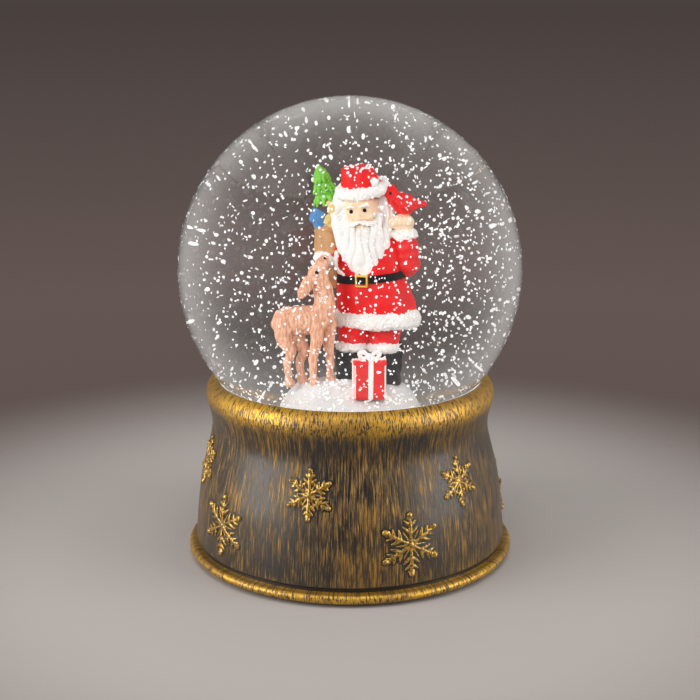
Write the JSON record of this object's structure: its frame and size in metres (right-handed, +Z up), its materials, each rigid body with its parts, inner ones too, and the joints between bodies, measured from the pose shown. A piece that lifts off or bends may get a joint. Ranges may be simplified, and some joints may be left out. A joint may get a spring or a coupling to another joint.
{
  "type": "snow globe",
  "caption": "Lit, motor-stirred snow globe: liquid-filled glass ball with a resin Christmas figure group on a waisted antique bronze base with raised snowflakes.",
  "frame": {"origin": "centre of the base at the underside of its rubber feet", "axes": "+Z up through the globe's centre, -Y towards the front, where the figures face, +X to the viewer's right"},
  "size_m": [0.14, 0.14, 0.1885],
  "materials": {
    "clear_glass": "polished",
    "clear_liquid": "gloss",
    "snow_white": "satin",
    "antique_bronze": "satin",
    "rubbed_gold": "satin",
    "black_plastic": "matte",
    "clear_plastic": "gloss",
    "white_plastic": "satin",
    "steel": "satin",
    "magnet_nickel": "gloss",
    "black_rubber": "matte",
    "cell_wrap": "gloss",
    "board_green": "satin",
    "lamp_clear": "gloss",
    "lead_red": "satin",
    "lead_black": "satin",
    "paint_red": "satin",
    "paint_black": "gloss",
    "paint_gold": "satin",
    "paint_white": "satin",
    "paint_skin": "satin",
    "paint_tan": "satin",
    "paint_green": "satin",
    "paint_yellow": "satin",
    "paint_blue": "satin",
    "paint_deer": "satin"
  },
  "bodies": {
    "base": {"glass_globe": "clear_glass", "liquid_fill": "clear_liquid", "snow_flakes": "snow_white", "globe_plug": "clear_plastic", "plug_seal": "black_rubber", "impeller_pin": "steel", "flow_housing": "white_plastic", "snow_mound": "snow_white", "santa_coat": "paint_red", "santa_trousers": "paint_red", "santa_boots": "paint_black", "santa_fur_trims": "paint_white", "santa_belt": "paint_black", "belt_buckle": "paint_gold", "santa_head": "paint_skin", "santa_beard": "paint_white", "santa_hat": "paint_red", "hat_brim": "paint_white", "raised_arm": "paint_red", "arm_cuff": "paint_white", "raised_hand": "paint_skin", "lower_mitten": "paint_white", "toy_sack": "paint_tan", "toy_tree": "paint_green", "toy_bear": "paint_yellow", "toy_parcel": "paint_blue", "red_bird": "paint_red", "deer": "paint_deer", "gift_box": "paint_red", "gift_ribbon": "paint_white", "base_shell": "antique_bronze", "snowflake_reliefs": "rubbed_gold", "bottom_cover": "black_plastic", "battery_springs": "steel", "contact_plates": "steel", "switch_body": "black_plastic", "rubber_feet": "black_rubber", "cover_screws": "steel", "bracket_screws": "steel", "motor_bracket": "white_plastic", "motor_can": "steel", "motor_screws": "steel", "lamp_board": "board_green", "lamps": "lamp_clear", "battery_lead": "lead_red", "board_lead": "lead_black", "motor_leads": "lead_red", "battery_cell_1": "cell_wrap", "battery_cell_2": "cell_wrap", "battery_cell_3": "cell_wrap"},
    "impeller": {"impeller": "white_plastic", "impeller_magnet": "magnet_nickel"},
    "motor_rotor": {"motor_shaft": "steel", "magnet_holder": "white_plastic", "drive_magnets": "magnet_nickel"},
    "switch_knob": {"switch_knob": "white_plastic"},
    "battery_door": {"battery_door": "black_plastic"}
  },
  "joints": [
    {"name": "motor_spin", "type": "hinge", "parent": "base", "child": "motor_rotor", "pos_m": [0, 0, 0.045], "axis": [0, 0, 1], "continuous": true},
    {"name": "impeller_spin", "type": "hinge", "parent": "base", "child": "impeller", "pos_m": [0, 0, 0.06], "axis": [0, 0, 1], "continuous": true},
    {"name": "switch_slide", "type": "slide", "parent": "base", "child": "switch_knob", "axis": [1, 0, 0], "range_m": [0, 0.006]},
    {"name": "door_hinge", "type": "hinge", "parent": "base", "child": "battery_door", "pos_m": [0, 0.0296, 0.0032], "axis": [1, 0, 0], "range_deg": [0, 100]}
  ],
  "couplings": [
    {"joint": "impeller_spin", "follows": "motor_spin", "ratio": 1}
  ]
}
